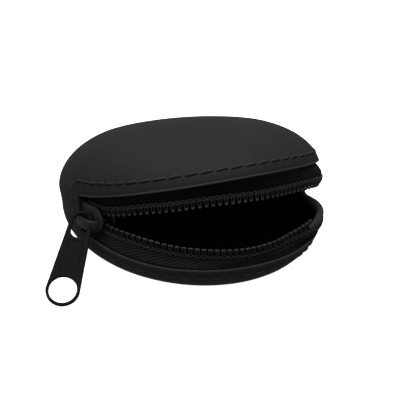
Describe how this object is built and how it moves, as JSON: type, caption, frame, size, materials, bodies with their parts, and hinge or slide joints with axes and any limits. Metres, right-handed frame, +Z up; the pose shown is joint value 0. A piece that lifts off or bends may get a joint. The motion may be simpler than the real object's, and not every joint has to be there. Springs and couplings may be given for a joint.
{
  "type": "coin purse",
  "caption": "Round zipped coin purse in soft black leather, mouth open at the front, with a ring pull on the slider.",
  "frame": {"origin": "centre of the flat base, on the surface the purse stands on", "axes": "+Z up, mouth opens towards -Y, +X to the right when looking into the mouth"},
  "size_m": [0.0983, 0.0817, 0.041],
  "materials": {
    "leather": "soft matte grain",
    "lining": "matte woven",
    "thread": "slightly shiny thread",
    "tape": "matte twill",
    "coil": "satin nylon",
    "hardware": "satin black paint"
  },
  "bodies": {
    "base": {"body_shell": "leather", "top_fold": "leather", "body_lining": "lining", "rear_lining": "lining", "lower_stitching": "thread", "lower_zip_tape": "tape", "upper_tape_end": "tape", "lower_coil": "coil", "upper_coil_end": "coil", "lower_coil_thread": "thread", "zip_bottom_stop": "hardware", "lower_top_stop": "hardware"},
    "lid": {"lid_shell": "leather", "lid_lining": "lining", "lid_stitching": "thread", "upper_zip_tape": "tape", "upper_coil": "coil", "upper_coil_thread": "thread", "upper_top_stop": "hardware"},
    "slider": {"slider_body": "hardware", "slider_bridge": "hardware"},
    "pull": {"pull_tab": "hardware"}
  },
  "joints": [
    {"name": "slider_travel", "type": "hinge", "parent": "base", "child": "slider", "pos_m": [0, 0, 0.016], "axis": [0, 0, 1], "range_deg": [0, 156]},
    {"name": "lid_open", "type": "hinge", "parent": "base", "child": "lid", "pos_m": [0, 0.0023, 0.0139], "axis": [-1, 0, 0], "range_deg": [-22, 0], "deforming": ["top_fold"]},
    {"name": "pull_swing", "type": "hinge", "parent": "slider", "child": "pull", "pos_m": [-0.04203, -0.00639, 0.016], "axis": [-0.1736, 0.9848, 0], "range_deg": [-20, 60]}
  ],
  "couplings": [
    {"joint": "lid_open", "follows": "slider_travel", "ratio": -0.14103}
  ]
}
